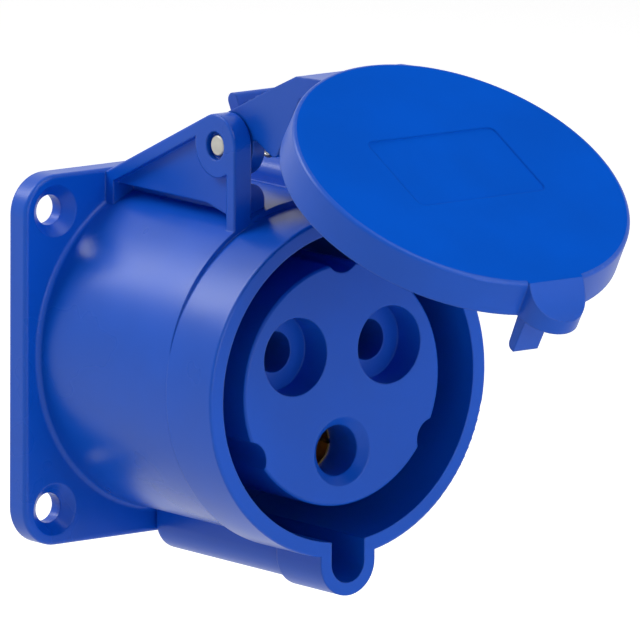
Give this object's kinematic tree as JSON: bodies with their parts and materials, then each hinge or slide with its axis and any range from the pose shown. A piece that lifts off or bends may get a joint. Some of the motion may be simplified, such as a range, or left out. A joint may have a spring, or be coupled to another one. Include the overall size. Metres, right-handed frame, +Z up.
{
  "type": "industrial panel socket",
  "caption": "Blue panel socket for round industrial plugs, with square flange, keyed collar, pin contacts and a sprung hinged lid.",
  "frame": {"origin": "centre of the square flange's back face, on the panel", "axes": "+Z up through the hinge, -Y out of the panel along the plug's axis, +X to the right as seen from the front"},
  "size_m": [0.055, 0.1083, 0.0784],
  "materials": {
    "housing": "satin moulded plastic",
    "carrier": "satin moulded plastic",
    "lid": "satin moulded plastic",
    "terminal_plastic": "dark grey moulded plastic",
    "contact_brass": "turned brass",
    "spring_steel": "bright spring wire and strip",
    "screw_steel": "zinc-plated steel",
    "pin_steel": "pale coated steel",
    "seal_rubber": "matt black rubber"
  },
  "bodies": {
    "socket": {"housing": "housing", "contact_carrier": "carrier", "carrier_base": "carrier", "terminal_body": "terminal_plastic", "line_contact": "contact_brass", "neutral_contact": "contact_brass", "earth_contact": "contact_brass", "line_contact_ring": "spring_steel", "neutral_contact_ring": "spring_steel", "earth_contact_ring": "spring_steel", "lid_spring": "spring_steel", "line_terminal_screw": "screw_steel", "neutral_terminal_screw": "screw_steel", "earth_terminal_screw": "screw_steel", "carrier_screw_top": "screw_steel", "carrier_screw_left": "screw_steel", "carrier_screw_right": "screw_steel", "hinge_pin": "pin_steel", "flange_gasket": "seal_rubber"},
    "lid": {"hinged_lid": "lid", "lid_seal": "seal_rubber"}
  },
  "joints": [
    {"name": "lid_hinge", "type": "hinge", "parent": "socket", "child": "lid", "pos_m": [0, -0.0299, 0.03445], "axis": [-1, 0, 0], "range_deg": [-60, 50], "stiffness_Nm_per_rad": 0.0253, "springref_deg": -120, "deforming": ["lid_spring"]}
  ]
}
